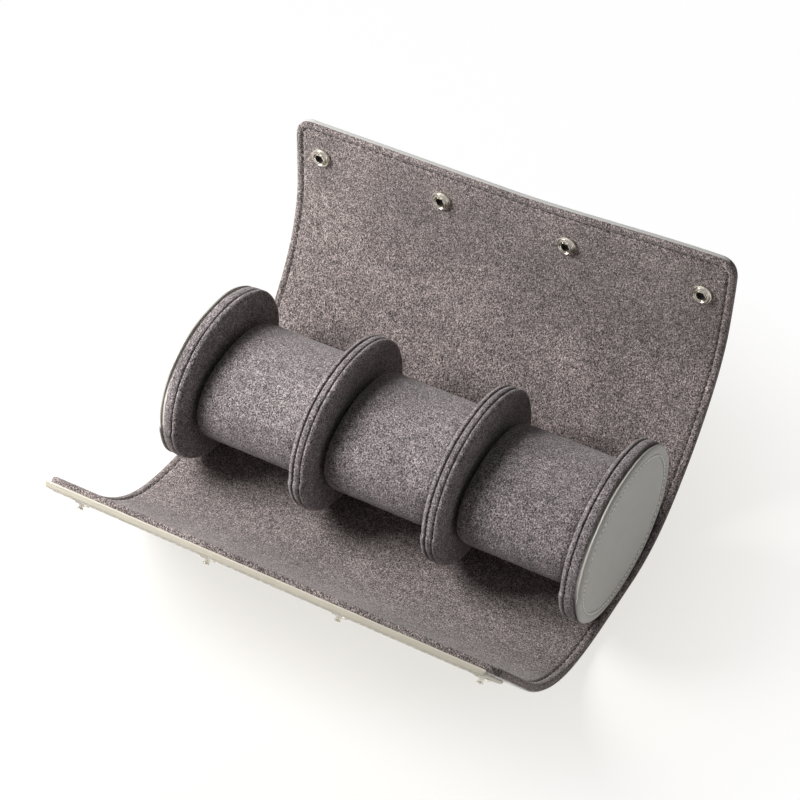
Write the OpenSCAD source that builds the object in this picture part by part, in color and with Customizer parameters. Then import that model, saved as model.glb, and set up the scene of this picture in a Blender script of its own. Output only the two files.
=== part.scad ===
// Watch roll for three watches, lying open: a curved sheet of leather and
// suede that carries four oval dividers with three pillows between them.
// X runs along the roll, Y to the back, Z up; the table is at Z = 0 and the
// origin lies under the middle of the dividers and of the rows of snaps.

/* [Sheet] */
// width of the sheet along the roll
sheet_w = 192; // [186:1:210]
// thickness of the outer leather
leather_t = 1.3; // [0.9:0.1:1.6]
// thickness of the stiffening board
board_t = 0.8; // [0.5:0.1:1.2]
// thickness of the suede lining
lining_t = 1.1; // [0.7:0.1:1.5]
// corner radius of both flaps
corner_r = 7; // [4:1:14]
// gap between two panels at the lining face
panel_gap = 0.2; // [0.1:0.1:0.5]

/* [Base panel] */
// reach of the flat base toward the front
base_front = 16; // [14:1:20]
// reach of the flat base toward the back
base_back = 9; // [7:1:12]

/* [Front flap] */
// lengths of the four front panels, from the base to the tip
front_len = [25, 25, 25, 37];
// bend of each front panel in the open pose
front_bend = [12, 26, 16, 0];
// relief angle between front panels
front_relief = [1, 1, 1, 1];

/* [Back flap] */
// lengths of the five back panels, from the base to the tip
back_len = [30, 27, 29, 27, 28];
// bend of each back panel in the open pose
back_bend = [33, 20, 15, 21, 0];
// relief angle between back panels
back_relief = [4, 12, 10, 7, 11];

/* [Dividers] */
// half depth of a divider, front to back
divider_a = 39.6; // [36:0.2:40]
// half height of a divider
divider_b = 32.6; // [30:0.2:33]
// roundness of the oval, 2 is an ellipse
oval_n = 2.1; // [2:0.05:2.6]
// depth of the flat foot pressed into the lining side
foot_cut = 0.2; // [0.1:0.1:0.6]
// thickness of the two end dividers
end_t = 8.8; // [7:0.2:10]
// thickness of the two middle dividers
mid_t = 7.8; // [6:0.2:9]
// thickness of a divider face
face_t = 1.2; // [0.8:0.1:1.6]
// thickness of the gusset band
band_t = 1.2; // [0.8:0.1:1.6]
// step from the edge of a face down to the gusset band
welt_step = 0.5; // [0.3:0.1:1]
// sheet left free beside the left end divider
left_margin = 4.5; // [1:0.1:8]
// sheet left free beside the right end divider
right_margin = 1.3; // [1:0.1:8]

/* [Pillows] */
// half depth of a pillow
pillow_a = 29; // [24:0.5:32]
// half height of a pillow
pillow_b = 19; // [15:0.5:22]
// clearance between a pillow and each divider
pillow_clear = 0.4; // [0.3:0.1:1]
// thickness of the suede cover
cover_t = 1.2; // [0.8:0.1:1.6]
// length of the rounded-off pillow ends
pillow_round = 3; // [2:0.5:5]

/* [Snaps] */
// distance of the outer snaps from the side edges
snap_margin = 12; // [10:0.5:20]
// distance of the sockets from the back edge
socket_inset = 15; // [13:0.5:20]
// distance of the studs from the front edge
stud_inset = 12.6; // [11:0.2:18]
// outer radius of a socket
socket_r = 3.9; // [3.2:0.1:5]
// height of a socket above the lining
socket_h = 2.2; // [1.6:0.1:2.6]
// radius of the hole in a socket
socket_bore_r = 1.6; // [1.5:0.1:2]
// radius of a cap on the outer leather
cap_r = 5; // [4.5:0.1:7]
// thickness of a cap
cap_t = 1.2; // [0.8:0.1:1.6]
// radius of the post under a cap
post_r = 2.2; // [1.9:0.1:2.6]
// radius of a stud head
stud_r = 1.3; // [1:0.05:1.4]
// height of a stud above the strip
stud_h = 2.6; // [2:0.1:3]
// radius of a stud flange
stud_flange_r = 3.1; // [2.4:0.1:4]
// radius of a rivet plate behind a stud
rivet_r = 4; // [3:0.1:5]
// thickness of stud flanges and rivet plates
flange_t = 0.5; // [0.4:0.1:0.6]
// width of the bevels on the metal parts
rim = 0.4; // [0.2:0.05:0.5]
// clearance around posts and rivets
hole_clear = 0.1; // [0.05:0.05:0.3]

/* [Strip] */
// thickness of the strip that holds the studs
strip_t = 2; // [1.6:0.1:2.6]
// width of the strip
strip_w = 25; // [22:1:28]
// reach of the strip past the front edge
strip_over = 1.6; // [0.5:0.1:2.5]

/* [Hidden] */
sheet_t = lining_t + board_t + leather_t;
outline_steps = 72;
bend_steps = 7;
seat_z = sheet_t;
divider_z = seat_z + divider_b - foot_cut;
bay = (sheet_w - left_margin - right_margin - 2 * end_t - 2 * mid_t) / 3;
row_x0 = left_margin - sheet_w / 2;
snap_pitch = (sheet_w - 2 * snap_margin) / 3;
divider_t = [end_t, mid_t, mid_t, end_t];
divider_x = [for (i = [0:3]) row_x0 + i * bay + end_t * min(i, 1) + mid_t * max(i - 1, 0)];
pillow_len = bay - 2 * pillow_clear;
snap_x = [for (i = [0:3]) (i - 1.5) * snap_pitch];
front = [-1, -base_front, front_len, front_bend, front_relief];
back = [1, base_back, back_len, back_bend, back_relief];
stud_s = front_len[3] - stud_inset;
socket_s = back_len[4] - socket_inset;
leather_c = [0.78, 0.78, 0.77];
suede_c = [0.42, 0.39, 0.4];
board_c = [0.6, 0.56, 0.5];
foam_c = [0.85, 0.84, 0.8];
steel_c = [0.8, 0.79, 0.77];

// start of panel i of a flap: y, z and slope on the lining face
function knot(f, i) = i == 0 ? [f[1], seat_z, 0] : step_on(knot(f, i - 1), f[0], f[2][i - 1], f[3][i - 1], f[2][i - 1]);

// point at length s on a panel of length l that starts at k and turns by a
function step_on(k, side, l, a, s) =
  a == 0
    ? [k[0] + side * s * cos(k[2]), k[1] + s * sin(k[2]), k[2]]
    : let (r = l / a * 180 / PI, t = k[2] + a * s / l)
      [k[0] + side * r * (sin(t) - sin(k[2])), k[1] + r * (cos(k[2]) - cos(t)), t];

// the same point moved out from the lining face by d
function outward(p, side, d) = [p[0] + side * d * sin(p[2]), p[1] - d * cos(p[2])];

// outline of one layer of a panel, from depth d0 to depth d1
function layer(f, i, d0, d1) =
  let (k = knot(f, i), l = f[2][i], a = f[3][i], n = bend_steps)
  let (s0 = panel_gap + d0 * tan(f[4][i]), s1 = panel_gap + d1 * tan(f[4][i]))
  concat(
    [for (j = [0:n]) outward(step_on(k, f[0], l, a, s0 + (l - s0) * j / n), f[0], d0)],
    [for (j = [n:-1:0]) outward(step_on(k, f[0], l, a, s1 + (l - s1) * j / n), f[0], d1)]
  );

// oval with half sizes a and b, flat below -foot
function oval(a, b, foot) = [
  for (i = [0:outline_steps - 1])
    let (t = 360 * (i + 0.5) / outline_steps)
    [
      a * sign(cos(t)) * pow(abs(cos(t)), 2 / oval_n),
      max(-foot, b * sign(sin(t)) * pow(abs(sin(t)), 2 / oval_n))
    ]
];

// rectangle from s0 to s1 with rounded corners at s1
function tip(w, s0, s1, r) = concat(
  [[-w / 2, s0], [w / 2, s0]],
  [for (j = [0:8]) [w / 2 - r + r * cos(j * 11.25), s1 - r + r * sin(j * 11.25)]],
  [for (j = [0:8]) [-w / 2 + r - r * sin(j * 11.25), s1 - r + r * cos(j * 11.25)]]
);

// an outline in Y and Z drawn out along X from x0
module along_x(x0, len) {
  translate([x0, 0, 0])
    rotate([90, 0, 90])
      linear_extrude(height = len)
        children();
}

// places children on a panel: X along the roll, Y toward the tip
module on_panel(f, i) {
  k = knot(f, i);
  translate([0, k[0], k[1]])
    rotate([f[0] < 0 ? 180 - k[2] : k[2], 0, 0])
      children();
}

module bent_layer(f, i, d0, d1) {
  along_x(-sheet_w / 2, sheet_w) polygon(layer(f, i, d0, d1));
}

module tip_layer(f, i, d0, d1) {
  s0 = panel_gap + d1 * tan(f[4][i]);
  on_panel(f, i)
    translate([0, 0, f[0] < 0 ? d0 : -d1])
      linear_extrude(height = d1 - d0)
        polygon(tip(sheet_w, s0, f[2][i], corner_r));
}

module base_layer(d0, d1) {
  translate([-sheet_w / 2, -base_front, seat_z - d1])
    cube([sheet_w, base_front + base_back, d1 - d0]);
}

// places children on the lining side of each snap of the back flap
module at_sockets() {
  for (x = snap_x)
    on_panel(back, 4) translate([x, socket_s, 0]) children();
}

// places children on the axis of each stud, Z pointing out of the flap
module at_studs() {
  for (x = snap_x)
    on_panel(front, 3) translate([x, stud_s, 0]) children();
}

module socket_layer(d0, d1) {
  difference() {
    tip_layer(back, 4, d0, d1);
    at_sockets() translate([0, 0, -sheet_t - 1]) cylinder(r = post_r + hole_clear, h = sheet_t + 2, $fn = 48);
  }
}

module leather(f, i) {
  color(leather_c) bent_layer(f, i, lining_t + board_t, sheet_t);
}

module board(f, i) {
  color(board_c) bent_layer(f, i, lining_t, lining_t + board_t);
}

module lining(f, i) {
  color(suede_c) bent_layer(f, i, 0, lining_t);
}

module base_leather() {
  color(leather_c) base_layer(lining_t + board_t, sheet_t);
}

module base_board() {
  color(board_c) base_layer(lining_t, lining_t + board_t);
}

module base_lining() {
  color(suede_c) base_layer(0, lining_t);
}

module front_4_leather() {
  color(leather_c) tip_layer(front, 3, lining_t + board_t, sheet_t);
}

module front_4_board() {
  color(board_c) tip_layer(front, 3, lining_t, lining_t + board_t);
}

module front_4_lining() {
  color(suede_c) tip_layer(front, 3, 0, lining_t);
}

module back_5_leather() {
  color(leather_c) socket_layer(lining_t + board_t, sheet_t);
}

module back_5_board() {
  color(board_c) socket_layer(lining_t, lining_t + board_t);
}

module back_5_lining() {
  color(suede_c) socket_layer(0, lining_t);
}

module stud_strip() {
  color(leather_c)
    difference() {
      on_panel(front, 3)
        translate([0, strip_over, sheet_t])
          linear_extrude(height = strip_t)
            polygon(tip(sheet_w, front_len[3] - strip_w, front_len[3], 2));
      at_studs() {
        translate([0, 0, sheet_t - 1]) cylinder(r = rivet_r + 2 * hole_clear, h = 1 + flange_t + hole_clear, $fn = 48);
        translate([0, 0, sheet_t]) cylinder(r = stud_r + 2 * hole_clear, h = strip_t + 1, $fn = 48);
      }
    }
}

module stud_rivets() {
  color(steel_c)
    at_studs() {
      translate([0, 0, sheet_t])
        rotate_extrude($fn = 48)
          polygon([
            [0, 0], [rivet_r, 0], [rivet_r, flange_t],
            [stud_r, flange_t], [stud_r, strip_t], [0, strip_t]
          ]);
    }
}

module studs() {
  color(steel_c)
    at_studs() {
      translate([0, 0, sheet_t + strip_t])
        rotate_extrude($fn = 48)
          polygon([
            [0, 0], [stud_flange_r, 0], [stud_flange_r, flange_t - rim / 2], [stud_flange_r - rim, flange_t],
            [stud_r - rim, flange_t], [stud_r - rim, stud_h - stud_r], [stud_r, stud_h - stud_r + rim],
            [stud_r, stud_h - rim], [stud_r - rim, stud_h], [0, stud_h]
          ]);
    }
}

module sockets() {
  color(steel_c)
    at_sockets()
      rotate_extrude($fn = 48)
        polygon([
          [socket_bore_r, 0], [socket_r, 0], [socket_r, socket_h - 2 * rim], [socket_r - rim, socket_h - rim / 2],
          [socket_r - 2 * rim, socket_h - rim / 2], [socket_r - 3 * rim, socket_h - 3 * rim / 2],
          [socket_bore_r + 3 * rim / 2, socket_h - 3 * rim / 2], [socket_bore_r + rim, socket_h], [socket_bore_r, socket_h]
        ]);
}

module socket_caps() {
  color(steel_c)
    at_sockets()
      translate([0, 0, -sheet_t - cap_t])
        rotate_extrude($fn = 48)
          polygon([
            [0, 0], [cap_r - 4 * rim, 0], [cap_r - rim, rim], [cap_r, 2 * rim],
            [cap_r, cap_t], [post_r, cap_t], [post_r, cap_t + sheet_t], [0, cap_t + sheet_t]
          ]);
}

// one face of a divider, at the left or at the right of it
module divider_face(i, right, c) {
  x = right ? divider_x[i] + divider_t[i] - face_t : divider_x[i];
  color(c)
    along_x(x, face_t)
      translate([0, divider_z])
        polygon(oval(divider_a, divider_b, divider_b - foot_cut));
}

module divider_band(i) {
  w = welt_step;
  color(suede_c)
    along_x(divider_x[i] + face_t, divider_t[i] - 2 * face_t)
      translate([0, divider_z])
        difference() {
          polygon(oval(divider_a - w, divider_b - w, divider_b));
          polygon(oval(divider_a - w - band_t, divider_b - w - band_t, divider_b));
        }
}

module divider_core(i) {
  w = welt_step + band_t;
  color(foam_c)
    along_x(divider_x[i] + face_t, divider_t[i] - 2 * face_t)
      translate([0, divider_z])
        polygon(oval(divider_a - w, divider_b - w, divider_b));
}

// middle of the bay that holds pillow i
function bay_x(i) = divider_x[i] + divider_t[i] + bay / 2;

module pillow_inside(i) {
  l = pillow_len - 2 * pillow_round;
  along_x(bay_x(i) - l / 2, l)
    translate([0, divider_z])
      polygon(oval(pillow_a - cover_t, pillow_b - cover_t, pillow_b));
}

module pillow_cover(i) {
  l = pillow_len - 2 * pillow_round;
  color(suede_c)
    difference() {
      union() {
        along_x(bay_x(i) - l / 2, l)
          translate([0, divider_z])
            polygon(oval(pillow_a, pillow_b, pillow_b));
        for (turn = [0, 180])
          translate([bay_x(i), 0, divider_z])
            rotate([0, 0, turn])
              translate([l / 2, 0, 0])
                rotate([90, 0, 90])
                  linear_extrude(height = pillow_round, scale = [0.93, 0.9])
                    polygon(oval(pillow_a, pillow_b, pillow_b));
      }
      pillow_inside(i);
    }
}

module pillow_core(i) {
  color(foam_c) pillow_inside(i);
}

base_leather();
base_board();
base_lining();
leather(front, 0);  // front_1_leather
board(front, 0);  // front_1_board
lining(front, 0);  // front_1_lining
leather(front, 1);  // front_2_leather
board(front, 1);  // front_2_board
lining(front, 1);  // front_2_lining
leather(front, 2);  // front_3_leather
board(front, 2);  // front_3_board
lining(front, 2);  // front_3_lining
front_4_leather();
front_4_board();
front_4_lining();
leather(back, 0);  // back_1_leather
board(back, 0);  // back_1_board
lining(back, 0);  // back_1_lining
leather(back, 1);  // back_2_leather
board(back, 1);  // back_2_board
lining(back, 1);  // back_2_lining
leather(back, 2);  // back_3_leather
board(back, 2);  // back_3_board
lining(back, 2);  // back_3_lining
leather(back, 3);  // back_4_leather
board(back, 3);  // back_4_board
lining(back, 3);  // back_4_lining
back_5_leather();
back_5_board();
back_5_lining();
stud_strip();
studs();
stud_rivets();
sockets();
socket_caps();
divider_core(0);  // left_end_core
divider_band(0);  // left_end_band
divider_face(0, false, leather_c);  // left_end_left_face
divider_face(0, true, suede_c);  // left_end_right_face
divider_core(1);  // middle_left_core
divider_band(1);  // middle_left_band
divider_face(1, false, suede_c);  // middle_left_left_face
divider_face(1, true, suede_c);  // middle_left_right_face
divider_core(2);  // middle_right_core
divider_band(2);  // middle_right_band
divider_face(2, false, suede_c);  // middle_right_left_face
divider_face(2, true, suede_c);  // middle_right_right_face
divider_core(3);  // right_end_core
divider_band(3);  // right_end_band
divider_face(3, false, suede_c);  // right_end_left_face
divider_face(3, true, leather_c);  // right_end_right_face
pillow_core(0);  // pillow_1_core
pillow_cover(0);  // pillow_1_cover
pillow_core(1);  // pillow_2_core
pillow_cover(1);  // pillow_2_cover
pillow_core(2);  // pillow_3_core
pillow_cover(2);  // pillow_3_cover
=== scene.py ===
"""Looks of the open watch roll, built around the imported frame.

X runs along the roll, Y to the back flap, Z up. Lengths in the code are in
millimetres and are turned into metres where a mesh is made. The floor, the
lamps and the camera are placed in metres.
"""

import math

import bmesh
import bpy
import numpy as np
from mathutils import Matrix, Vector

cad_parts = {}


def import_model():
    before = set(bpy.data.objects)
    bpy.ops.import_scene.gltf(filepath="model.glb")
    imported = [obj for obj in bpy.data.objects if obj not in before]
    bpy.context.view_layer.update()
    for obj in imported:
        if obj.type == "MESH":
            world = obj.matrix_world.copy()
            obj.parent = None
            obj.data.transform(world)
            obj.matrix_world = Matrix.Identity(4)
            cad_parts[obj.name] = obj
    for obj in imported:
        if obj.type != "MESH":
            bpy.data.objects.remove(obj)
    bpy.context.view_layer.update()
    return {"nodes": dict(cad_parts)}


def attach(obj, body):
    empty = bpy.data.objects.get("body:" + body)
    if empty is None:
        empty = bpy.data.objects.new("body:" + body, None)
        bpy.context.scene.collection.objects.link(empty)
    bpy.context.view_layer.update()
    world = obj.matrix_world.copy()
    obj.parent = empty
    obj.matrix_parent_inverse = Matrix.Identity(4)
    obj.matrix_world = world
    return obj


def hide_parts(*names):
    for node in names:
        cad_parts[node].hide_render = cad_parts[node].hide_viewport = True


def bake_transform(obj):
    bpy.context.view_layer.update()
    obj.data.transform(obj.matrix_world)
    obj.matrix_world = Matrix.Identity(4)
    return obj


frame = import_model()
MM = 0.001

# Sheet: lengths of its panels from the front tip to the back tip, with bends
PANELS = [
    ("front_4", 37, 0),
    ("front_3", 25, 16),
    ("front_2", 25, 26),
    ("front_1", 25, 12),
    ("base", 25, 0),
    ("back_1", 30, 33),
    ("back_2", 27, 20),
    ("back_3", 29, 15),
    ("back_4", 27, 21),
    ("back_5", 28, 0),
]
S_FRONT, S_BACK, BASE_FRONT, BASE_BACK = -128.0, 150.0, -16.0, 9.0
HALF_W, CORNER_R = 96.0, 7.0
PAST = 4.0  # the curve runs on this far past both tips
CURVE_STEP, SOFT_STEPS = 0.25, 20  # bends soften over this many steps on each side
FLARE = 2.4  # spread of the back flap at its right edge
CORNER_RISE = 4.2  # extra height of its right corner
UNEVEN, UNEVEN_LENGTH, UNEVEN_WAVES = 0.35, 70, 7
FOLD_REACH = 9.0  # blend lengths lie this far on each side of a fold
LINING_T, SHEET_T = 1.1, 3.2
STITCH_IN, GROOVE_W, LIP = 3.0, 0.5, 0.7
STITCH_PITCH, STITCH_LENGTH = 3.1, 2.2
STRIP_T, STRIP_W, STRIP_OVER = 2.0, 25.0, 0.9
STRIP_LEFT, STRIP_RIGHT, STRIP_STITCH_IN = -HALF_W + 0.5, HALF_W - 5.5, 2.8

# Row of dividers and pillows
OVAL_A, OVAL_B, OVAL_N = 39.6, 32.6, 2.1
ROW_Z = SHEET_T + OVAL_B - 0.2
DIVIDERS = [
    ("left_end", -91.5, -82.7),
    ("middle_left", -31.7, -23.9),
    ("middle_right", 27.1, 34.9),
    ("right_end", 85.9, 94.7),
]
SNAP_X = [-84.0, -28.0, 28.0, 84.0]
SOCKET_S, STUD_S = S_BACK - 15.0, S_FRONT + 12.6
PILLOW_A, PILLOW_B, PILLOW_END_GAP = 29.6, 19.6, 0.8


# Curve of the sheet


def sheet_curve():
    """Length, y, z and slope along the lining face, bends softly joined.

    The straight ends run on past the sheet, for the strip on its front edge.
    """
    step = CURVE_STEP
    s = np.arange(S_FRONT - PAST, S_BACK + PAST + step / 2, step)
    bend = np.zeros(len(s))
    at = S_FRONT
    for _, length, angle in PANELS:
        inside = (s >= at - 1e-6) & (s < at + length)
        bend[inside] = math.radians(angle) / length
        at += length
    kernel = np.hanning(2 * SOFT_STEPS + 1)
    kernel /= kernel.sum()
    padded = np.pad(bend, SOFT_STEPS, mode="edge")
    soft = np.convolve(padded, kernel, mode="valid")
    base = (s > BASE_FRONT + 1) & (s < BASE_BACK - 1)
    soft[base] = 0
    slope = np.concatenate([[0], np.cumsum((soft[1:] + soft[:-1]) / 2) * step])
    slope -= np.interp(0, s, slope)
    mid = (slope[1:] + slope[:-1]) / 2
    y = np.concatenate([[0], np.cumsum(np.cos(mid)) * step])
    z = np.concatenate([[0], np.cumsum(np.sin(mid)) * step])
    y -= np.interp(0, s, y)
    z += SHEET_T - np.interp(0, s, z)
    return s, y, z, slope


CURVE = sheet_curve()


def eased(value, low, high):
    """Smooth rise from 0 at low to 1 at high."""
    t = np.clip((value - low) / (high - low), 0, 1)
    return t * t * (3 - 2 * t)


def bell(value, middle, width):
    """1 at the middle, almost 0 from twice the width on."""
    return np.exp(-(((value - middle) / width) ** 2))


def rounded(inside, reach):
    """From 1 at an edge to 0 at reach inside it, along a quarter circle."""
    return 1 - np.sqrt(1 - np.clip(1 - inside / reach, 0, 1) ** 2)


def ripple(x, s):
    """Soft unevenness of about -1 to 1, the same each run."""
    draw = np.random.default_rng(3)
    total = np.zeros(np.broadcast(x, s).shape)
    for _ in range(UNEVEN_WAVES):
        turn, phase = draw.uniform(0, math.tau, 2)
        length = UNEVEN_LENGTH * draw.uniform(0.7, 1.6)
        total = total + np.sin(
            math.tau * (x * math.cos(turn) + s * math.sin(turn)) / length + phase
        )
    return total / math.sqrt(UNEVEN_WAVES)


def flare(x, s):
    """How far the back flap spreads to the right at x and s."""
    return FLARE * eased(x, 30, HALF_W) * eased(s, 50, S_BACK)


def on_sheet(x, s, d):
    """Points at x along the roll, length s and depth d out from the lining face."""
    cs, cy, cz, ct = CURVE
    y, z, t = (np.interp(s, cs, c) for c in (cy, cz, ct))
    free = eased(np.abs(s), 20, 60) * (1 - eased(np.abs(s), 80, 108))
    d = d + UNEVEN * free * ripple(x, s)
    x = x + flare(x, s)
    over = CORNER_RISE * eased(x, 0, HALF_W) * eased(s, 134, S_BACK)
    y, z = y + over * np.cos(t), z + over * np.sin(t)
    return np.stack([x + 0 * y, y + d * np.sin(t), z - d * np.cos(t)], -1)


def border(x, s):
    """Distance from the sheet's edge, inward."""
    mid, half = (S_FRONT + S_BACK) / 2, (S_BACK - S_FRONT) / 2
    qx = np.abs(x) - (HALF_W - CORNER_R)
    qs = np.abs(s - mid) - (half - CORNER_R)
    outside = np.hypot(np.maximum(qx, 0), np.maximum(qs, 0))
    return CORNER_R - outside - np.minimum(np.maximum(qx, qs), 0)


def half_width(s):
    """Half the sheet's width at length s, less in the rounded corners."""
    near = np.minimum(s - S_FRONT, S_BACK - s)
    cut = np.clip(CORNER_R - near, 0, CORNER_R)
    return HALF_W - CORNER_R + np.sqrt(np.maximum(CORNER_R**2 - cut**2, 0))


# Distance between the mesh's points along the sheet, and their places near an edge
MESH_STEP = 1.6
EDGE_STEPS = [0, 0.15, 0.4, 0.8, 1.3, 1.8, 2.2, 2.5, 2.8, 3.1, 3.4, 3.8, 4.6, 6, 8]


def across():
    """Places of the mesh's points over the width, close together at the edges."""
    inner = np.linspace(-HALF_W + 10, HALF_W - 10, 75)
    edge = np.array(EDGE_STEPS)
    return np.concatenate([-HALF_W + edge, inner, HALF_W - edge[::-1]])


def along(s0, s1):
    """Lengths of the mesh's points, close together at the sheet's tips."""
    count = max(int(round((s1 - s0) / MESH_STEP)), 2)
    line = np.linspace(s0, s1, count + 1)
    edge = np.array(EDGE_STEPS)
    if s0 <= S_FRONT:
        line = np.concatenate([s0 + edge, line[line > s0 + 9]])
    if s1 >= S_BACK:
        line = np.concatenate([line[line < s1 - 9], (s1 - edge)[::-1]])
    return line


# Meshes


def new_object(name, points, faces):
    mesh = bpy.data.meshes.new(name)
    mesh.from_pydata([tuple(p) for p in np.asarray(points) * MM], [], faces)
    mesh.validate()
    bm = bmesh.new()
    bm.from_mesh(mesh)
    bmesh.ops.recalc_face_normals(bm, faces=bm.faces)
    bm.to_mesh(mesh)
    bm.free()
    mesh.polygons.foreach_set("use_smooth", [True] * len(mesh.polygons))
    mesh.update()
    obj = bpy.data.objects.new(name, mesh)
    bpy.context.scene.collection.objects.link(obj)
    return obj


def sharpen(obj, degrees):
    """Edges that turn by more than this stay crisp."""
    bm = bmesh.new()
    bm.from_mesh(obj.data)
    limit = math.radians(degrees)
    for e in bm.edges:
        if len(e.link_faces) == 2 and e.calc_face_angle(0) > limit:
            e.smooth = False
    bm.to_mesh(obj.data)
    bm.free()
    return obj


def slab(name, top, bottom):
    """Closed solid between two grids of points."""
    n, m = top.shape[:2]
    points = np.concatenate([top.reshape(-1, 3), bottom.reshape(-1, 3)])
    off = n * m
    faces = []
    for i in range(n - 1):
        for j in range(m - 1):
            a, b, c, d = i * m + j, i * m + j + 1, (i + 1) * m + j + 1, (i + 1) * m + j
            faces.append((a, b, c, d))
            faces.append((off + d, off + c, off + b, off + a))
    rim = list(range(m))
    rim += [i * m + m - 1 for i in range(1, n)]
    rim += [(n - 1) * m + j for j in range(m - 2, -1, -1)]
    rim += [i * m for i in range(n - 2, 0, -1)]
    for a, b in zip(rim, rim[1:] + rim[:1]):
        faces.append((b, a, off + a, off + b))
    return new_object(name, points, faces)


def paint_rim(obj, mat, first, only_sides):
    """The narrow faces round a slab, from the first one on, take a second material."""
    obj.data.materials.append(mat)
    for face in obj.data.polygons[first:]:
        if not only_sides or abs(face.center.x) > (HALF_W - 1) * MM:
            face.material_index = 1


def lining_depth(x, s):
    """Depth of the lining's face: a sewn groove, a puffed border and a rounded lip."""
    d = border(x, s)
    groove = 0.5 * bell(d, STITCH_IN, GROOVE_W)
    puff = -0.22 * bell(d, 1.5, 0.8)
    return groove + puff + 0.7 * rounded(d, LIP)


def leather_depth(x, s):
    """Depth of the leather's face, with the same groove and lip."""
    d = border(x, s)
    groove = -0.3 * bell(d, STITCH_IN, GROOVE_W)
    return SHEET_T + groove - 0.5 * rounded(d, LIP)


def sheet_slab(name, s0, s1, low, high):
    """One layer of the sheet between depths given by two functions."""
    s, x = np.meshgrid(along(s0, s1), across(), indexing="ij")
    x = x * half_width(s) / HALF_W
    top = on_sheet(x, s, low(x, s))
    bottom = on_sheet(x, s, high(x, s))
    return sharpen(slab(name, top, bottom), 60)


def thread(points, normals, radius, sides=6):
    """A short tube with rounded ends along a row of points."""
    points, normals = np.asarray(points), np.asarray(normals)
    n = len(points)
    tangent = np.gradient(points, axis=0)
    tangent /= np.linalg.norm(tangent, axis=1)[:, None]
    side = np.cross(tangent, normals)
    side /= np.linalg.norm(side, axis=1)[:, None]
    up = np.cross(side, tangent)
    rings, faces = [], []
    for i in range(n):
        u = i / (n - 1)
        r = radius * math.sqrt(max(1 - abs(2 * u - 1) ** 4, 0.04))
        for k in range(sides):
            a = math.tau * k / sides
            rings.append(points[i] + r * (side[i] * math.cos(a) + up[i] * math.sin(a)))
    for i in range(n - 1):
        for k in range(sides):
            k2 = (k + 1) % sides
            faces.append((i * sides + k, i * sides + k2, (i + 1) * sides + k2, (i + 1) * sides + k))
    faces.append(tuple(range(sides)))
    faces.append(tuple((n - 1) * sides + k for k in range(sides - 1, -1, -1)))
    return np.array(rings), faces


def joined(name, parts):
    """One object from several lists of points and faces."""
    points, faces, off = [], [], 0
    for p, f in parts:
        points.append(p)
        faces += [tuple(off + i for i in face) for face in f]
        off += len(p)
    return new_object(name, np.concatenate(points), faces)


# Materials


def material(name):
    mat = bpy.data.materials.new(name)
    mat.use_nodes = True
    nodes, links = mat.node_tree.nodes, mat.node_tree.links
    nodes.clear()
    out = nodes.new("ShaderNodeOutputMaterial")
    shader = nodes.new("ShaderNodeBsdfPrincipled")
    links.new(shader.outputs["BSDF"], out.inputs["Surface"])
    return mat, nodes, links, shader


def noise(nodes, links, coords, scale, detail, rough, stretch=None, twist=0.0):
    tex = nodes.new("ShaderNodeTexNoise")
    settings = (("Scale", scale), ("Detail", detail), ("Roughness", rough), ("Distortion", twist))
    for key, v in settings:
        tex.inputs[key].default_value = v
    source = coords.outputs["Object"]
    if stretch:
        mapping = nodes.new("ShaderNodeMapping")
        mapping.inputs["Scale"].default_value = stretch
        mapping.inputs["Rotation"].default_value = (0.5, 0.2, 0.6)
        links.new(source, mapping.inputs["Vector"])
        source = mapping.outputs["Vector"]
    links.new(source, tex.inputs["Vector"])
    return tex.outputs["Fac"]


def span(nodes, links, value, low, high, to_low, to_high):
    node = nodes.new("ShaderNodeMapRange")
    for key, v in (("From Min", low), ("From Max", high), ("To Min", to_low), ("To Max", to_high)):
        node.inputs[key].default_value = v
    links.new(value, node.inputs["Value"])
    return node.outputs["Result"]


def maths(nodes, links, operation, a, b=0.0):
    node = nodes.new("ShaderNodeMath")
    node.operation = operation
    for socket, v in zip(node.inputs, (a, b)):
        if isinstance(v, (int, float)):
            socket.default_value = v
        else:
            links.new(v, socket)
    return node.outputs["Value"]


def tinted(nodes, links, value, colour):
    """The colour times a value."""
    node = nodes.new("ShaderNodeMix")
    node.data_type = "RGBA"
    node.blend_type = "MULTIPLY"
    node.inputs["Factor"].default_value = 1.0
    node.inputs[6].default_value = (*colour, 1)
    links.new(value, node.inputs[7])
    return node.outputs[2]


def bumped(nodes, links, shader, height, strength, distance):
    bump = nodes.new("ShaderNodeBump")
    bump.inputs["Strength"].default_value = strength
    bump.inputs["Distance"].default_value = distance
    links.new(height, bump.inputs["Height"])
    links.new(bump.outputs["Normal"], shader.inputs["Normal"])


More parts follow.
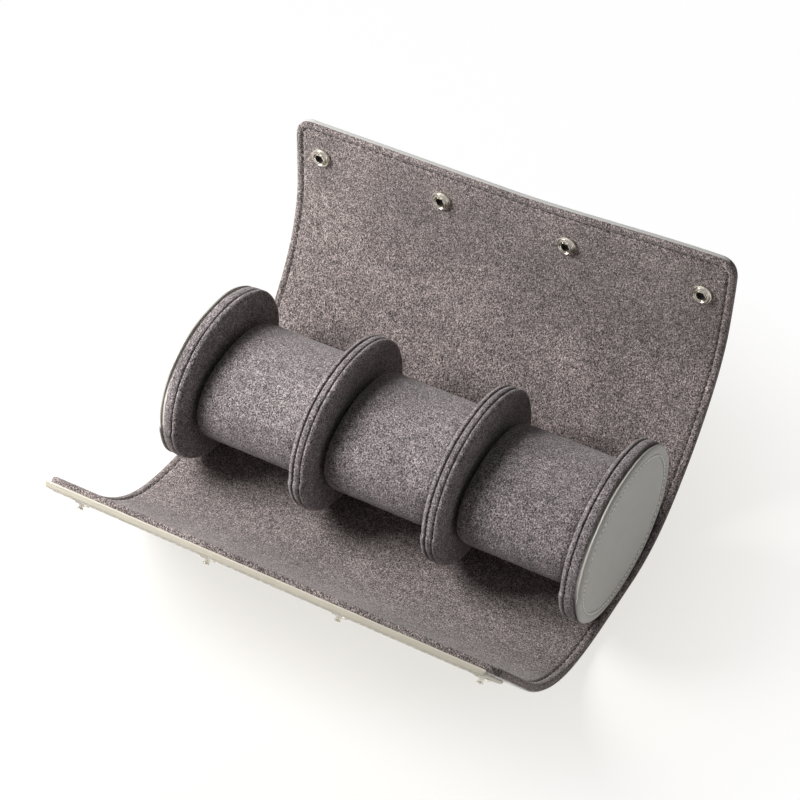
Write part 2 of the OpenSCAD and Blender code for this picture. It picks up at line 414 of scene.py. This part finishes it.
def suede_material(name, colour, grain):
    """Suede: broad clouds, brushed patches, a nap, a finer nap and short dark creases."""
    mat, nodes, links, shader = material(name)
    coords = nodes.new("ShaderNodeTexCoord")
    cloud = noise(nodes, links, coords, 45, 2.0, 0.5)
    patch = noise(nodes, links, coords, 230, 2.5, 0.6, (1.0, 1.6, 1.6))
    nap = noise(nodes, links, coords, 2300, 2.0, 0.7, (1.0, 0.75, 0.75))
    fine = noise(nodes, links, coords, 1150, 2.0, 0.6)
    worms = noise(nodes, links, coords, 1200, 1.0, 0.5, (1.0, 0.8, 0.8), 1.0)
    crease = maths(nodes, links, "ABSOLUTE", maths(nodes, links, "SUBTRACT", worms, 0.5))
    layers = [
        span(nodes, links, cloud, 0.3, 0.7, 0.84, 1.13),
        span(nodes, links, patch, 0.3, 0.7, 0.8, 1.2),
        span(nodes, links, fine, 0.36, 0.64, 1 - 0.16 * grain, 1 + 0.18 * grain),
        span(nodes, links, nap, 0.36, 0.64, 1 - 0.78 * grain, 1 + 1.1 * grain),
        span(nodes, links, crease, 0.0, 0.1, 1 - 0.58 * grain, 1 + 0.32 * grain),
    ]
    tone = layers[0]
    for layer in layers[1:]:
        tone = maths(nodes, links, "MULTIPLY", tone, layer)
    links.new(tinted(nodes, links, tone, colour), shader.inputs["Base Color"])
    shader.inputs["Roughness"].default_value = 0.95
    shader.inputs["Specular IOR Level"].default_value = 0.15
    shader.inputs["Sheen Weight"].default_value = 0.28
    shader.inputs["Sheen Roughness"].default_value = 0.45
    shader.inputs["Sheen Tint"].default_value = (0.9, 0.86, 0.85, 1)
    height = maths(nodes, links, "ADD", nap, maths(nodes, links, "MULTIPLY", fine, 0.6))
    bumped(nodes, links, shader, height, 0.8, 0.0005)
    return mat


def leather_material(name, colour, rough=0.46):
    """Smooth leather with faint mottles and fine pebbles."""
    mat, nodes, links, shader = material(name)
    coords = nodes.new("ShaderNodeTexCoord")
    cloud = noise(nodes, links, coords, 28, 2.0, 0.5)
    mottle = noise(nodes, links, coords, 220, 3.0, 0.6)
    tone = maths(
        nodes, links, "MULTIPLY",
        span(nodes, links, cloud, 0.3, 0.7, 0.96, 1.04),
        span(nodes, links, mottle, 0.3, 0.7, 0.97, 1.03),
    )
    links.new(tinted(nodes, links, tone, colour), shader.inputs["Base Color"])
    gloss = span(nodes, links, mottle, 0.3, 0.7, rough - 0.05, rough + 0.07)
    links.new(gloss, shader.inputs["Roughness"])
    shader.inputs["Specular IOR Level"].default_value = 0.42
    pebble = nodes.new("ShaderNodeTexVoronoi")
    pebble.feature = "DISTANCE_TO_EDGE"
    pebble.inputs["Scale"].default_value = 1250
    links.new(coords.outputs["Object"], pebble.inputs["Vector"])
    crease = span(nodes, links, pebble.outputs["Distance"], 0.0, 0.16, 0.0, 1.0)
    height = maths(nodes, links, "ADD", crease, maths(nodes, links, "MULTIPLY", mottle, 1.2))
    bumped(nodes, links, shader, height, 0.14, 0.0003)
    return mat


def plain_material(name, colour, rough, metal=0.0, scale=900, depth=0.0001):
    """One colour with a slight grain."""
    mat, nodes, links, shader = material(name)
    coords = nodes.new("ShaderNodeTexCoord")
    grain = noise(nodes, links, coords, scale, 2.0, 0.5)
    tone = span(nodes, links, grain, 0.3, 0.7, 0.93, 1.07)
    links.new(tinted(nodes, links, tone, colour), shader.inputs["Base Color"])
    gloss = span(nodes, links, grain, 0.3, 0.7, rough * 0.85, rough * 1.15)
    links.new(gloss, shader.inputs["Roughness"])
    shader.inputs["Metallic"].default_value = metal
    bumped(nodes, links, shader, grain, 0.3, depth)
    return mat


SUEDE = suede_material("suede", (0.166, 0.14, 0.134), 1.2)
SUEDE_PAD = suede_material("suede_pad", (0.178, 0.156, 0.157), 1.1)
LEATHER = leather_material("leather", (0.52, 0.51, 0.49))
# The end faces' leather: the same pale leather, darker, as painted shade on those faces
SHADED_FACE_LEATHER = leather_material("leather_face", (0.4, 0.385, 0.355), 0.36)
STRIP_LEATHER = leather_material("leather_strip", (0.52, 0.48, 0.4))
# Near-black painted shade for the sockets' bores
BORE_SHADE = plain_material("painted_bore_shade", (0.02, 0.018, 0.016), 0.7)
DARK_THREAD = plain_material("dark_thread", (0.035, 0.03, 0.03), 0.8, scale=3000)
PALE_THREAD = plain_material("pale_thread", (0.93, 0.93, 0.9), 0.7, scale=3000)
NICKEL = plain_material("nickel", (0.7, 0.66, 0.59), 0.28, 1.0, scale=600)
FOAM = plain_material("foam", (0.6, 0.58, 0.53), 0.9, scale=700, depth=0.0004)
BOARD = plain_material("board", (0.42, 0.38, 0.33), 0.9, scale=500)


def dress(obj, mat):
    """Gives a piece its material."""
    obj.data.materials.clear()
    obj.data.materials.append(mat)
    return obj


for node, obj in frame["nodes"].items():
    kind = FOAM
    if node.endswith("_board"):
        kind = BOARD
    elif node in ("sockets", "socket_caps", "studs", "stud_rivets"):
        kind = NICKEL
    elif node.endswith("_leather") or node == "stud_strip":
        kind = LEATHER
    elif not node.endswith("_core"):
        kind = SUEDE
    obj.data.materials.clear()
    obj.data.materials.append(kind)


# Sheet, in strips that each bend over one fold


def panel_spans():
    spans, at = [], S_FRONT
    for name, length, _ in PANELS:
        spans.append((name, at, at + length))
        at += length
    return spans


def at_length(s):
    return Vector(on_sheet(np.array(0.0), np.array(float(s)), np.array(0.0))) * MM


def fold_strips():
    """The two bodies, start, end and blend lengths of each strip."""
    spans = panel_spans()
    strips = []
    for (a, a0, a1), (b, b0, b1) in zip(spans, spans[1:]):
        start = S_FRONT if a0 == S_FRONT else (a0 + a1) / 2
        end = S_BACK if b1 == S_BACK else (b0 + b1) / 2
        strips.append((a, b, start, end, a1 - FOLD_REACH, a1 + FOLD_REACH))
    return strips


def bend(obj, a, b, s0, s1):
    at_length(s0)
    at_length(s1)
    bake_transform(obj)


def flat_depth(value):
    return lambda x, s: value + 0 * x


def stitches_along(line, depth, radius, s0=-math.inf, s1=math.inf):
    """Stitches on the sheet along a line of (x, s) places, those from s0 to s1."""
    line = np.array(line)
    run = np.concatenate([[0], np.cumsum(np.linalg.norm(np.diff(line, axis=0), axis=1))])
    count = int(run[-1] / STITCH_PITCH)
    arch = np.sin(np.linspace(0, math.pi, 7))
    out = -1 if depth < SHEET_T / 2 else 1
    parts = []
    for k in range(count):
        mid = run[-1] * (k + 0.5) / count
        if not s0 <= np.interp(mid, run, line[:, 1]) < s1:
            continue
        u = np.linspace(mid - STITCH_LENGTH / 2, mid + STITCH_LENGTH / 2, 7)
        x, s = (np.interp(u, run, line[:, i]) for i in (0, 1))
        p = on_sheet(x, s, depth + out * radius * (1.5 * arch - 0.9))
        n = on_sheet(x, s, depth - 1.0) - on_sheet(x, s, depth)
        parts.append(thread(p, n, radius))
    return parts


def border_line():
    """The closed line of stitches just inside the sheet's edge."""
    r = CORNER_R - STITCH_IN
    right, front, back = HALF_W - CORNER_R, S_FRONT + CORNER_R, S_BACK - CORNER_R
    corners = [(right, back, 0), (-right, back, 90), (-right, front, 180), (right, front, 270)]
    line = []
    for cx, cs, turn in corners:
        for k in range(13):
            t = math.radians(turn + 7.5 * k)
            line.append((cx + r * math.cos(t), cs + r * math.sin(t)))
    return line + line[:1]


seam = border_line()
for a, b, s0, s1, f0, f1 in fold_strips():
    tag = f"{a}_to_{b}"
    suede = sheet_slab(f"lining_{tag}", s0, s1, lining_depth, flat_depth(LINING_T))
    hide = sheet_slab(f"leather_{tag}", s0, s1, flat_depth(LINING_T), leather_depth)
    dress(suede, SUEDE)
    dress(hide, LEATHER)
    grid_faces = 2 * (len(along(s0, s1)) - 1) * (len(across()) - 1)
    paint_rim(hide, SUEDE, grid_faces, only_sides=s1 >= S_BACK)
    inner = joined(f"stitches_inner_{tag}", stitches_along(seam, 0.42, 0.24, s0, s1))
    outer = joined(f"stitches_outer_{tag}", stitches_along(seam, SHEET_T - 0.2, 0.24, s0, s1))
    dress(inner, DARK_THREAD)
    dress(outer, PALE_THREAD)
    for piece in (suede, hide, inner, outer):
        bend(piece, a, b, f0, f1)
    for body in (a, b):
        for layer, piece in (("lining", suede), ("leather", hide), ("board", hide)):
            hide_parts(f"{body}_{layer}")


# Dividers and pillows


ROUND = 180  # points round an oval skin


def oval(a, b, count=ROUND):
    """Points y and z round an oval that is a little fuller than an ellipse."""
    t = (np.arange(count) + 0.5) / count * math.tau
    y = a * np.sign(np.cos(t)) * np.abs(np.cos(t)) ** (2 / OVAL_N)
    z = b * np.sign(np.sin(t)) * np.abs(np.sin(t)) ** (2 / OVAL_N)
    return y, z


def lean(y, z):
    """The hand-made outline: fuller at the top, flatter at the upper front."""
    turn = np.degrees(np.arctan2(z, y))
    top = 0.9 * bell(turn, 95, 35)
    front = -1.1 * bell(np.abs(turn), 168, 34) * (turn > 0)
    r = np.hypot(y, z)
    k = 1 + (top + front) * (r / OVAL_A) ** 3 / np.maximum(r, 1)
    return y * k, z * k


def lathe(name, profile, a, b, wave, seed, ring=False):
    """A closed skin swept round an oval: profile is a row of (x, inset) pairs.

    A ring joins its last row to its first, any other skin is capped.
    """
    turn = (np.arange(ROUND) + 0.5) / ROUND
    draw = np.random.default_rng(seed)
    wobble = sum(
        np.sin(math.tau * (k * turn + draw.uniform())) * draw.uniform(0.4, 1)
        for k in (2, 3, 5, 7, 11)
    )
    points, faces = [], []
    for x, inset in profile:
        shrink = inset + wave * wobble * math.exp(-inset / 6)
        y, z = oval(1, 1)
        y, z = lean(y * (a - shrink), z * (b - shrink * (b / a) ** 0.15))
        z = np.maximum(z, SHEET_T - ROW_Z)
        points.append(np.stack([np.full(ROUND, float(x)), y, z + ROW_Z], -1))
    n = len(profile)
    for i in range(n if ring else n - 1):
        j = (i + 1) % n
        for k in range(ROUND):
            k2 = (k + 1) % ROUND
            faces.append((i * ROUND + k, i * ROUND + k2, j * ROUND + k2, j * ROUND + k))
    if not ring:
        faces.append(tuple(range(ROUND - 1, -1, -1)))
        faces.append(tuple((n - 1) * ROUND + k for k in range(ROUND)))
    return new_object(name, np.concatenate(points), faces)


MIDDLE = 31.4  # inset of the rows nearest to an oval's middle
RIM_R = 1.8  # rounding of a suede face's rim
FACE_DEPTH = 2.3  # thickness of a suede face
PLATE_T = 1.5  # thickness of a leather face
PLATE_GAP = 0.85  # between a leather face and the band
SEAM_GAP = 0.25  # between a suede face and the band
SEAM_STITCH_IN = 0.12  # the stitches in that gap
RING_IN = 4.5  # the ring of white stitches, in from the rim


def suede_face(x, side):
    """Profile of a suede face: flat middle, rounded rim, seam edge, back."""
    steps = [
        (-0.35, MIDDLE), (-0.3, 24), (-0.2, 17), (-0.05, 11), (0, 7.5), (-0.02, 5), (-0.1, 3.4),
    ]
    for k in range(8):
        t = math.radians(12 + 11.2 * k)
        steps.append((-RIM_R + RIM_R * math.cos(t), RIM_R - RIM_R * math.sin(t)))
    steps += [(-2.05, 0.12), (-2.2, 0.4), (-FACE_DEPTH, 0.9), (-FACE_DEPTH, 1.6), (-FACE_DEPTH, MIDDLE)]
    return [(x + side * dx, inset) for dx, inset in steps]


def leather_face(x, side):
    """Profile of a leather face: smooth middle, groove for the stitches, full rim, back."""
    steps = [
        (0.05, MIDDLE), (0.05, 22), (0, 14), (-0.05, 9), (-0.1, 6.6), (-0.2, 5.6), (-0.5, 4.9),
        (-0.6, RING_IN), (-0.5, 4.1), (-0.1, 3.5), (0.15, 2.8), (0.2, 2.1), (0.05, 1.4),
        (-0.2, 0.85), (-0.55, 0.4), (-0.95, 0.25), (-1.25, 0.4), (-PLATE_T, 0.9), (-PLATE_T, MIDDLE),
    ]
    return [(x + side * dx, inset) for dx, inset in steps]


def band_profile(x0, x1):
    """Ring between two faces, with soft edges and a slight crown."""
    edge = [(0, 1.6), (0, 0.9), (0.12, 0.45), (0.35, 0.15), (0.7, 0)]
    left = [(x0 + dx, inset) for dx, inset in edge]
    right = [(x1 - dx, inset) for dx, inset in edge[::-1]]
    return left + [((x0 + x1) / 2, -0.12)] + right


RING_STEPS = 720  # points on the line that a ring of stitches follows


def ring_stitches(x, inset, pitch, length, radius, out=None):
    """Stitches round an oval, open to the side that out says, or to the outside."""
    b = OVAL_B - inset * (OVAL_B / OVAL_A) ** 0.15
    y, z = lean(*oval(OVAL_A - inset, b, RING_STEPS))
    loop = np.stack([np.full(RING_STEPS, x), y, np.maximum(z, SHEET_T - ROW_Z + 0.4) + ROW_Z], -1)
    loop = np.vstack([loop, loop[:1]])
    run = np.concatenate([[0], np.cumsum(np.linalg.norm(np.diff(loop, axis=0), axis=1))])
    count = int(run[-1] / pitch)
    parts = []
    for k in range(count):
        mid = run[-1] * (k + 0.5) / count
        u = np.linspace(mid - length / 2, mid + length / 2, 7) % run[-1]
        p = np.stack([np.interp(u, run, loop[:, i]) for i in range(3)], -1)
        arch = np.sin(np.linspace(0, math.pi, 7))[:, None]
        if out is None:
            normal = p - np.array([x, 0, ROW_Z])
            normal[:, 0] = 0
            normal /= np.linalg.norm(normal, axis=1)[:, None]
        else:
            normal = np.tile(np.array([out, 0.0, 0.0]), (7, 1))
        parts.append(thread(p + normal * (radius * (1.6 * arch - 0.9)), normal, radius))
    return parts


def divider(name, x0, x1, seed):
    """Band, two faces and their threads."""
    inner = [x0 + FACE_DEPTH + SEAM_GAP, x1 - FACE_DEPTH - SEAM_GAP]
    for side, x, part in ((-1, x0, "left_face"), (1, x1, "right_face")):
        tag = f"{name}_{part}"
        if tag in ("left_end_left_face", "right_end_right_face"):
            face = lathe(f"{tag}_pad", leather_face(x, side), OVAL_A, OVAL_B, 0.12, seed)
            dress(face, SHADED_FACE_LEATHER)
            inner[side > 0] = x - side * (PLATE_T + PLATE_GAP)
            threads = ring_stitches(x - side * 0.4, RING_IN, 2.3, 1.7, 0.38, side)
            stitches = dress(joined(f"{tag}_stitches", threads), PALE_THREAD)
        else:
            face = lathe(f"{tag}_pad", suede_face(x, side), OVAL_A, OVAL_B, 0.07, seed)
            dress(face, SUEDE_PAD)
            threads = ring_stitches(x - side * (FACE_DEPTH + SEAM_STITCH_IN), 0.75, 2.2, 1.5, 0.2)
            stitches = dress(joined(f"{tag}_stitches", threads), DARK_THREAD)
        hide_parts(f"{name}_{part}")
        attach(face, "base")
        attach(stitches, "base")
        seed += 1
    band = lathe(f"{name}_band_pad", band_profile(*inner), OVAL_A, OVAL_B, 0.07, seed, ring=True)
    dress(band, SUEDE_PAD)
    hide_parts(f"{name}_band")
    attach(band, "base")


def apply_modifiers(obj):
    """Takes what the modifiers make as the mesh, and drops them."""
    seen = obj.evaluated_get(bpy.context.evaluated_depsgraph_get())
    mesh = bpy.data.meshes.new_from_object(seen)
    obj.modifiers.clear()
    obj.data = mesh


def places(obj):
    co = np.empty(len(obj.data.vertices) * 3)
    obj.data.vertices.foreach_get("co", co)
    return co.reshape(-1, 3)


SWELL_VOXEL, SWELL_PRESSURE, SWELL_FRAMES = 2.2, 4, 20
SWELL_CAP = 1.3  # no point moves further


def swell(obj, x0, x1):
    """Blows a closed pad up with the cloth solver, held between x0 and x1."""
    even = obj.modifiers.new("even", "REMESH")
    even.mode = "VOXEL"
    even.voxel_size = SWELL_VOXEL * MM
    apply_modifiers(obj)
    start = places(obj)
    cloth = obj.modifiers.new("swell", "CLOTH")
    cloth.settings.quality = 5
    cloth.settings.use_pressure = True
    cloth.settings.uniform_pressure_force = SWELL_PRESSURE
    cloth.settings.effector_weights.gravity = 0
    cloth.point_cache.frame_end = SWELL_FRAMES
    for number in range(1, SWELL_FRAMES + 1):
        bpy.context.scene.frame_set(number)
    apply_modifiers(obj)
    bpy.context.scene.frame_set(1)
    move = places(obj) - start
    far = np.linalg.norm(move, axis=1)[:, None]
    points = start + move * np.minimum(1, SWELL_CAP * MM / np.maximum(far, 1e-9))
    points[:, 0] = np.clip(points[:, 0], x0 * MM, x1 * MM)
    obj.data.vertices.foreach_set("co", points.ravel())
    obj.data.update()
    smooth = obj.modifiers.new("smooth", "SUBSURF")
    smooth.levels = smooth.render_levels = 1
    apply_modifiers(obj)
    obj.data.polygons.foreach_set("use_smooth", [True] * len(obj.data.polygons))


def pillow(number, x0, x1):
    """A stuffed suede roll with full ends."""
    start, end = x0 + PILLOW_END_GAP, x1 - PILLOW_END_GAP
    edge = [(0, 17), (0, 9), (0.1, 5), (0.5, 3), (1.3, 1.5), (2.4, 0.6), (4.5, 0.1)]
    profile = [(start + dx, inset) for dx, inset in edge]
    profile += [(x, 0) for x in np.linspace(start + 8, end - 8, 14)]
    profile += [(end - dx, inset) for dx, inset in edge[::-1]]
    pad = lathe(f"pillow_{number}_pad", profile, PILLOW_A, PILLOW_B, 0.1, 20 + number)
    swell(pad, x0 + 0.15, x1 - 0.15)
    dress(pad, SUEDE_PAD)
    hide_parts(f"pillow_{number}_cover", f"pillow_{number}_core")
    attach(pad, f"pillow_{number}")


for index, (name, x0, x1) in enumerate(DIVIDERS):
    divider(name, x0, x1, 3 * index)
for number in (1, 2, 3):
    pillow(number, DIVIDERS[number - 1][2], DIVIDERS[number][1])


# Strip and snaps


def strip():
    """Pale leather strip across the tip, past its front edge, with its stitches."""
    s0, s1 = S_FRONT - STRIP_OVER, S_FRONT - STRIP_OVER + STRIP_W
    middle, half = (STRIP_LEFT + STRIP_RIGHT) / 2, (STRIP_RIGHT - STRIP_LEFT) / 2
    edge = np.array([0, 0.1, 0.3, 0.6, 1.0, 1.5])
    line = np.concatenate([s0 + edge, np.linspace(s0 + 2.5, s1 - 2.5, 14), s1 - edge[::-1]])
    inner = np.linspace(-half + 2.5, half - 2.5, 60)
    s, x = np.meshgrid(line, np.concatenate([-half + edge, inner, half - edge[::-1]]), indexing="ij")
    near = np.minimum(np.minimum(s - s0, s1 - s), half - np.abs(x))
    x = x + middle
    lip = 0.7 * rounded(near, 0.8)
    groove = 0.25 * bell(near, 2.2, GROOVE_W)
    skived = 0.8 * np.clip(1 - near / 4, 0, 1) ** 2  # thinner towards its edges
    past = eased(-s, -S_FRONT + 0.05, -S_FRONT + 0.4)  # 1 beyond the sheet's own edge
    top = on_sheet(x, s, SHEET_T + 0.05 + 0.5 * lip - 1.0 * past)
    bottom = on_sheet(x, s, SHEET_T + STRIP_T - 0.6 * lip - groove - skived - 1.2 * past)
    body = dress(sharpen(slab("strip_skin", top, bottom), 70), STRIP_LEATHER)
    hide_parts("stud_strip")
    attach(body, "front_4")
    right, left = STRIP_RIGHT - STRIP_STITCH_IN, STRIP_LEFT + STRIP_STITCH_IN
    front, back = s0 + STRIP_STITCH_IN, s1 - STRIP_STITCH_IN
    loop = [(right, back), (left, back), (left, front), (right, front), (right, back)]
    parts = []
    for ends in zip(loop, loop[1:]):
        parts += stitches_along(ends, SHEET_T + STRIP_T - 0.28, 0.22)
    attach(dress(joined("strip_stitches", parts), PALE_THREAD), "front_4")


SNAP_SIDES = 48


def turned(profile, x, s, depth, outward, lobes):
    """Points and faces of a turned part that stands on the sheet at depth."""
    base = on_sheet(np.array(x), np.array(s), np.array(depth))
    step = on_sheet(np.array(x), np.array(s + 0.5), np.array(depth)) - base
    onward = step / np.linalg.norm(step)
    up = np.cross([1.0, 0.0, 0.0], onward) * (-1 if outward else 1)
    t = np.arange(SNAP_SIDES) / SNAP_SIDES * math.tau
    flat = np.cos(t)[:, None] * [1.0, 0.0, 0.0] + np.sin(t)[:, None] * onward
    points, faces = [], []
    for r, h, lobe in profile:
        radius = r * (1 + lobe * lobes * np.cos(6 * t))
        points.append(base + radius[:, None] * flat + h * up)
    n = len(profile)
    for i in range(n - 1):
        a, b = i * SNAP_SIDES, (i + 1) * SNAP_SIDES
        for k in range(SNAP_SIDES):
            k2 = (k + 1) % SNAP_SIDES
            faces.append((a + k, a + k2, b + k2, b + k))
    faces.append(tuple(range(SNAP_SIDES - 1, -1, -1)))
    faces.append(tuple((n - 1) * SNAP_SIDES + k for k in range(SNAP_SIDES)))
    return np.concatenate(points), faces


# Radius, height and share of the lobes, from the outside in
SOCKET = [
    (3.4, -0.3, 0), (4.0, -0.1, 0), (4.2, 0.2, 0), (4.2, 0.7, 0), (4.1, 1.0, 0), (3.85, 1.15, 0),
    (3.6, 1.1, 0), (3.45, 0.9, 0), (3.35, 1.0, 0), (3.2, 1.5, 0), (3.05, 1.9, 0), (2.85, 2.0, 0),
    (2.7, 1.85, 0), (2.6, 1.4, 0), (2.5, 1.0, 0.3), (2.4, 1.1, 1), (2.3, 1.6, 1), (2.2, 1.95, 1),
    (2.1, 2.1, 1), (1.98, 2.1, 1), (1.88, 1.95, 1), (1.8, 1.6, 0.6), (1.76, 0.6, 0), (1.7, 0.1, 0),
    (0.6, 0.05, 0),
]
STUD = [
    (3.1, 0, 0), (3.1, 0.25, 0), (2.9, 0.5, 0), (1.5, 0.6, 0), (1.1, 0.75, 0), (0.95, 1.0, 0),
    (0.9, 1.4, 0), (1.05, 1.6, 0), (1.2, 1.8, 0), (1.22, 2.05, 0), (1.1, 2.25, 0), (0.8, 2.38, 0),
    (0.3, 2.42, 0),
]
CAP = [
    (2.2, -0.6, 0), (5.0, -0.1, 0), (5.0, 0.3, 0), (4.85, 0.6, 0), (4.5, 0.85, 0), (3.6, 1.08, 0),
    (2.4, 1.18, 0), (1.2, 1.2, 0), (0.3, 1.2, 0),
]
# Rows down each socket's bore that get the painted shade
SHADED_BORE_ROWS = 3
SOCKET_LOBES = 0.07


def paint_bore_shade(piece):
    """The last rows of each socket, down its bore, and its inner end take a near-black painted shade.
    """
    piece.data.materials.append(BORE_SHADE)
    side = (len(SOCKET) - 1) * SNAP_SIDES
    for index, face in enumerate(piece.data.polygons):
        place = index % (side + 2)
        if side - SHADED_BORE_ROWS * SNAP_SIDES <= place < side or place == side + 1:
            face.material_index = 1


def snaps():
    """The visible metal: sockets on the lining, caps behind them, studs under the tip."""
    groups = [
        ("socket_shells", SOCKET, SOCKET_S, 0.0, False, "back_5", "sockets"),
        ("cap_shells", CAP, SOCKET_S, SHEET_T, True, "back_5", "socket_caps"),
        ("stud_shells", STUD, STUD_S, SHEET_T + STRIP_T, True, "front_4", "studs"),
    ]
    for name, profile, s, depth, outward, body, node in groups:
        row = SNAP_X
        if node == "studs":
            row = [x + float(flare(x, SOCKET_S)) for x in SNAP_X]
        parts = [turned(profile, x, s, depth, outward, SOCKET_LOBES) for x in row]
        piece = sharpen(joined(name, parts), 38)
        dress(piece, NICKEL)
        if node == "sockets":
            paint_bore_shade(piece)
        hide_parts(node)
        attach(piece, body)


strip()
snaps()


# Floor, light and camera


FLOOR_NEAR, FLOOR_FAR = 0.09, 0.2  # the floor's white grows from the near to the far distance
WHITE_NEAR, WHITE_FAR = 0.72, 0.98
FLOOR_HALF = 6.0


def floor():
    """Pale floor that keeps the shadow near the roll and is white further out; near the roll its glow
    is warm, a painted warm shade.
    """
    mesh = bpy.data.meshes.new("floor")
    corners = [(-1, -1), (1, -1), (1, 1), (-1, 1)]
    mesh.from_pydata([(x * FLOOR_HALF, y * FLOOR_HALF, 0) for x, y in corners], [], [(0, 1, 2, 3)])
    obj = bpy.data.objects.new("floor", mesh)
    bpy.context.scene.collection.objects.link(obj)
    mat, nodes, links, shader = material("floor")
    shader.inputs["Base Color"].default_value = (0.86, 0.845, 0.82, 1)
    shader.inputs["Roughness"].default_value = 0.9
    shader.inputs["Specular IOR Level"].default_value = 0.1
    coords = nodes.new("ShaderNodeTexCoord")
    far = nodes.new("ShaderNodeVectorMath")
    far.operation = "LENGTH"
    links.new(coords.outputs["Object"], far.inputs[0])
    share = span(nodes, links, far.outputs["Value"], FLOOR_NEAR, FLOOR_FAR, WHITE_NEAR, WHITE_FAR)
    # Glow warm near the roll and white further out: painted warm shade round the roll
    tint = nodes.new("ShaderNodeMix")
    tint.data_type = "RGBA"
    grown = span(nodes, links, far.outputs["Value"], FLOOR_NEAR, FLOOR_FAR, 0, 1)
    links.new(grown, tint.inputs["Factor"])
    tint.inputs[6].default_value = (1.0, 0.975, 0.93, 1)
    tint.inputs[7].default_value = (1.0, 1.0, 1.0, 1)
    glow = nodes.new("ShaderNodeEmission")
    links.new(tint.outputs[2], glow.inputs["Color"])
    path = nodes.new("ShaderNodeLightPath")
    rays = path.outputs["Is Camera Ray"], path.outputs["Is Glossy Ray"]
    seen = maths(nodes, links, "MAXIMUM", *rays)
    mix = nodes.new("ShaderNodeMixShader")
    links.new(maths(nodes, links, "MULTIPLY", seen, share), mix.inputs["Fac"])
    links.new(shader.outputs["BSDF"], mix.inputs[1])
    links.new(glow.outputs["Emission"], mix.inputs[2])
    links.new(mix.outputs["Shader"], nodes["Material Output"].inputs["Surface"])
    obj.data.materials.append(mat)


def lamp(name, place, target, size, power):
    data = bpy.data.lights.new(name, "AREA")
    data.shape = "DISK"
    data.size = size
    data.energy = power
    obj = bpy.data.objects.new(name, data)
    obj.location = place
    obj.rotation_euler = (Vector(target) - Vector(place)).to_track_quat("-Z", "Y").to_euler()
    bpy.context.scene.collection.objects.link(obj)


def world():
    """White for the camera, paler in reflections and dim as a light."""
    w = bpy.data.worlds.new("world")
    bpy.context.scene.world = w
    w.use_nodes = True
    nodes, links = w.node_tree.nodes, w.node_tree.links
    path = nodes.new("ShaderNodeLightPath")
    mirrored = maths(nodes, links, "MULTIPLY", path.outputs["Is Glossy Ray"], 0.55)
    seen = maths(nodes, links, "MAXIMUM", path.outputs["Is Camera Ray"], mirrored)
    nodes["Background"].inputs["Color"].default_value = (1, 1, 1, 1)
    links.new(span(nodes, links, seen, 0, 1, 0.12, 1.0), nodes["Background"].inputs["Strength"])


# The camera as fitted to the photo: focal length in pixels, and two angles
CAMERA_AT = (0.3323, -0.5917, 0.7191)
AZIMUTH, ELEVATION = math.radians(29.565), math.radians(44.105)
FOCAL_PX, PHOTO_PX, SENSOR_MM = 2452.3, 800, 36


def camera():
    data = bpy.data.cameras.new("camera")
    data.sensor_width = SENSOR_MM
    data.lens = SENSOR_MM * FOCAL_PX / PHOTO_PX
    data.clip_start, data.clip_end = 0.05, 20
    obj = bpy.data.objects.new("camera", data)
    obj.location = CAMERA_AT
    obj.rotation_euler = (math.pi / 2 - ELEVATION, 0, AZIMUTH)
    bpy.context.scene.collection.objects.link(obj)
    bpy.context.scene.camera = obj


floor()
world()
lamp("key", (-0.37, -0.15, 0.39), (0, 0, 0.03), 0.3, 5.4)
lamp("fill", (-0.5, -1.2, 0.7), (0, 0, 0.04), 1.0, 1.7)
lamp("side", (0.9, -0.22, 0.16), (0.09, 0, 0.04), 0.3, 1.1)
camera()
bpy.context.scene.view_settings.view_transform = "Standard"
